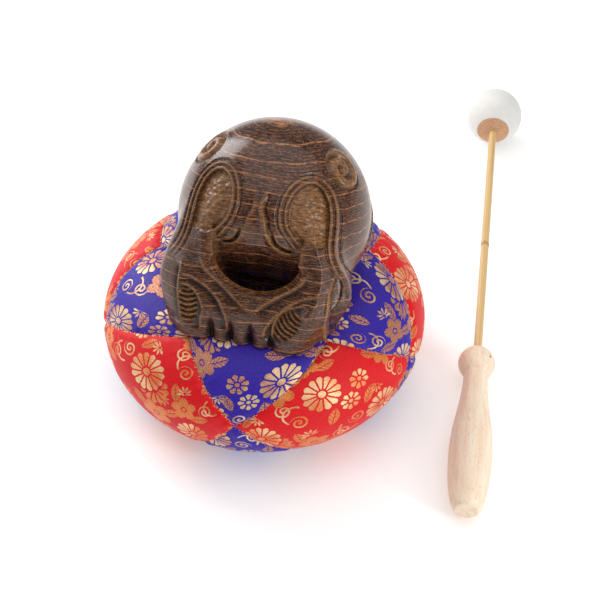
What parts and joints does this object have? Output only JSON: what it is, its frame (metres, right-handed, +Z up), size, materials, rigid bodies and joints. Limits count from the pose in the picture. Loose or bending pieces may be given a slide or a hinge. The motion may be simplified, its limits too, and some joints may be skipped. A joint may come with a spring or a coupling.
{
  "type": "mokugyo wooden fish set",
  "caption": "Hollow carved wooden fish drum with a finger-hole handle and a sound slit, resting on a round patchwork brocade cushion, with a rubber-headed bamboo beater lying beside it.",
  "frame": {"origin": "middle of the cushion's base, on the surface that the set stands on", "axes": "+Z up, the fish's handle looks towards -Y, the beater lies on the +X side"},
  "size_m": [0.2406, 0.3592, 0.168],
  "materials": {
    "fish_wood": "dark stained, waxed satin",
    "wadding": "cotton wadding",
    "violet_brocade": "violet-blue woven brocade with gold florals",
    "red_brocade": "red woven brocade with gold florals",
    "white_rubber": "matte white",
    "core_wood": "turned, unfinished end grain",
    "bamboo": "smooth rind",
    "beech": "sanded, unfinished",
    "pin_steel": "dark steel brad"
  },
  "bodies": {
    "cushion": {"cushion_core": "wadding", "top_patch_1": "violet_brocade", "top_patch_2": "violet_brocade", "top_patch_3": "violet_brocade", "top_patch_4": "violet_brocade", "top_patch_5": "violet_brocade", "side_patch_1": "red_brocade", "side_patch_2": "red_brocade", "side_patch_3": "red_brocade", "side_patch_4": "red_brocade", "side_patch_5": "red_brocade", "bottom_patch_1": "violet_brocade", "bottom_patch_2": "violet_brocade", "bottom_patch_3": "violet_brocade", "bottom_patch_4": "violet_brocade", "bottom_patch_5": "violet_brocade"},
    "fish": {"fish_body": "fish_wood"},
    "beater": {"beater_handle": "beech", "beater_shaft": "bamboo", "shaft_pin": "pin_steel", "head_core": "core_wood", "head_ball": "white_rubber"}
  },
  "joints": [
    {"name": "fish_lift", "type": "slide", "parent": "cushion", "child": "fish", "axis": [0, 0, 1], "range_m": [0, 0.12]},
    {"name": "beater_lift", "type": "slide", "parent": "cushion", "child": "beater", "axis": [0, 0, 1], "range_m": [0, 0.25]}
  ]
}
